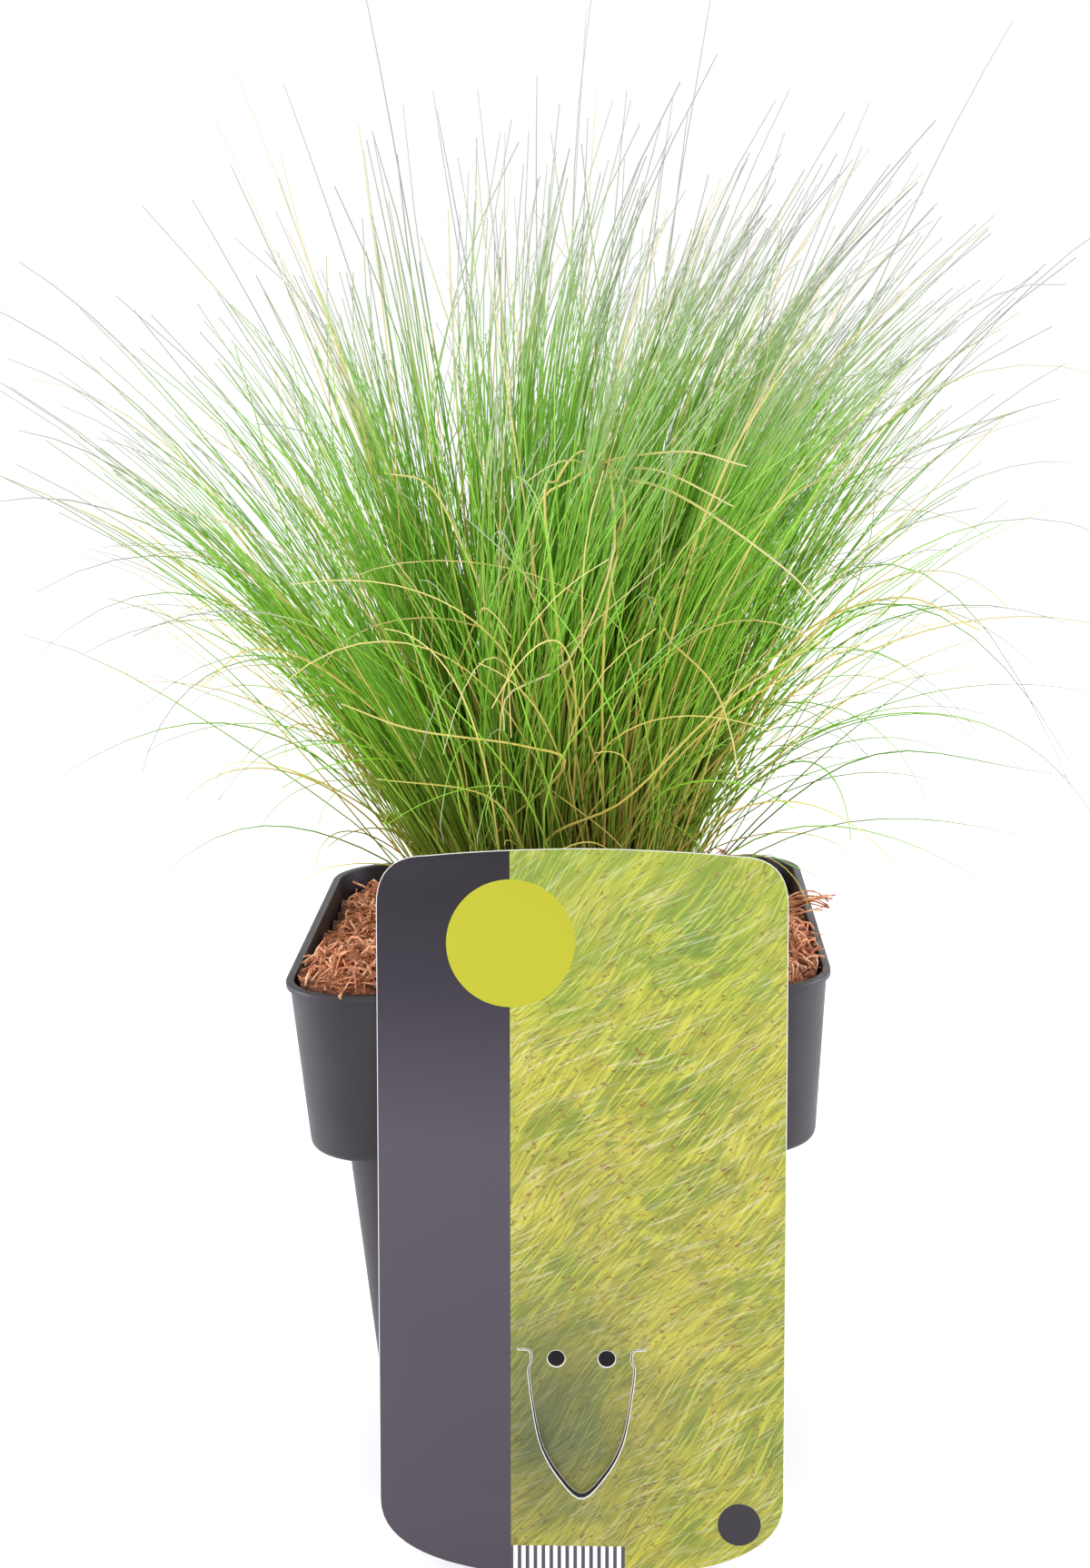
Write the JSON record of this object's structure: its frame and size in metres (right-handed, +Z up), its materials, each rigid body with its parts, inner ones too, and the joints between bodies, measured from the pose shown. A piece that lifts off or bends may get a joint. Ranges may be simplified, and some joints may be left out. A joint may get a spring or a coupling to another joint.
{
  "type": "mexican feather grass in a square nursery pot",
  "caption": "Young ornamental grass with a fountain of thread-fine arching green and straw blades, in a black square nursery pot with coir mulch and a leaning plant label.",
  "frame": {"origin": "middle of the pot's foot, on the surface that it stands on", "axes": "+Z up along the pot's axis; +X to the right of somebody who faces the label; +Y away from them"},
  "size_m": [0.193, 0.1939, 0.2527],
  "materials": {
    "pot_plastic": "satin",
    "peat_soil": "matte",
    "coir": "matte",
    "crown_tissue": "matte",
    "green_leaf": "satin",
    "straw": "matte",
    "label_card": "satin"
  },
  "bodies": {
    "root": {"pot": "pot_plastic", "potting_soil": "peat_soil", "coir_mulch": "coir", "crown": "crown_tissue", "green_tuft_01": "green_leaf", "green_tuft_02": "green_leaf", "green_tuft_03": "green_leaf", "straw_tuft_04": "straw", "green_tuft_05": "green_leaf", "green_tuft_06": "green_leaf", "green_tuft_07": "green_leaf", "green_tuft_08": "green_leaf", "green_tuft_09": "green_leaf", "green_tuft_10": "green_leaf", "straw_tuft_11": "straw", "green_tuft_12": "green_leaf", "green_tuft_13": "green_leaf", "green_tuft_14": "green_leaf", "green_tuft_15": "green_leaf", "green_tuft_16": "green_leaf", "green_tuft_17": "green_leaf", "straw_tuft_18": "straw", "green_tuft_19": "green_leaf", "green_tuft_20": "green_leaf", "green_tuft_21": "green_leaf", "green_tuft_22": "green_leaf", "green_tuft_23": "green_leaf", "green_tuft_24": "green_leaf", "straw_tuft_25": "straw", "green_tuft_26": "green_leaf", "green_tuft_27": "green_leaf", "green_tuft_28": "green_leaf", "green_tuft_29": "green_leaf", "green_tuft_30": "green_leaf", "green_tuft_31": "green_leaf", "straw_tuft_32": "straw", "green_tuft_33": "green_leaf", "green_tuft_34": "green_leaf", "green_tuft_35": "green_leaf", "green_tuft_36": "green_leaf", "green_tuft_37": "green_leaf", "green_tuft_38": "green_leaf", "straw_tuft_39": "straw", "green_tuft_40": "green_leaf", "green_tuft_41": "green_leaf", "green_tuft_42": "green_leaf", "plant_label": "label_card"}
  },
  "joints": []
}
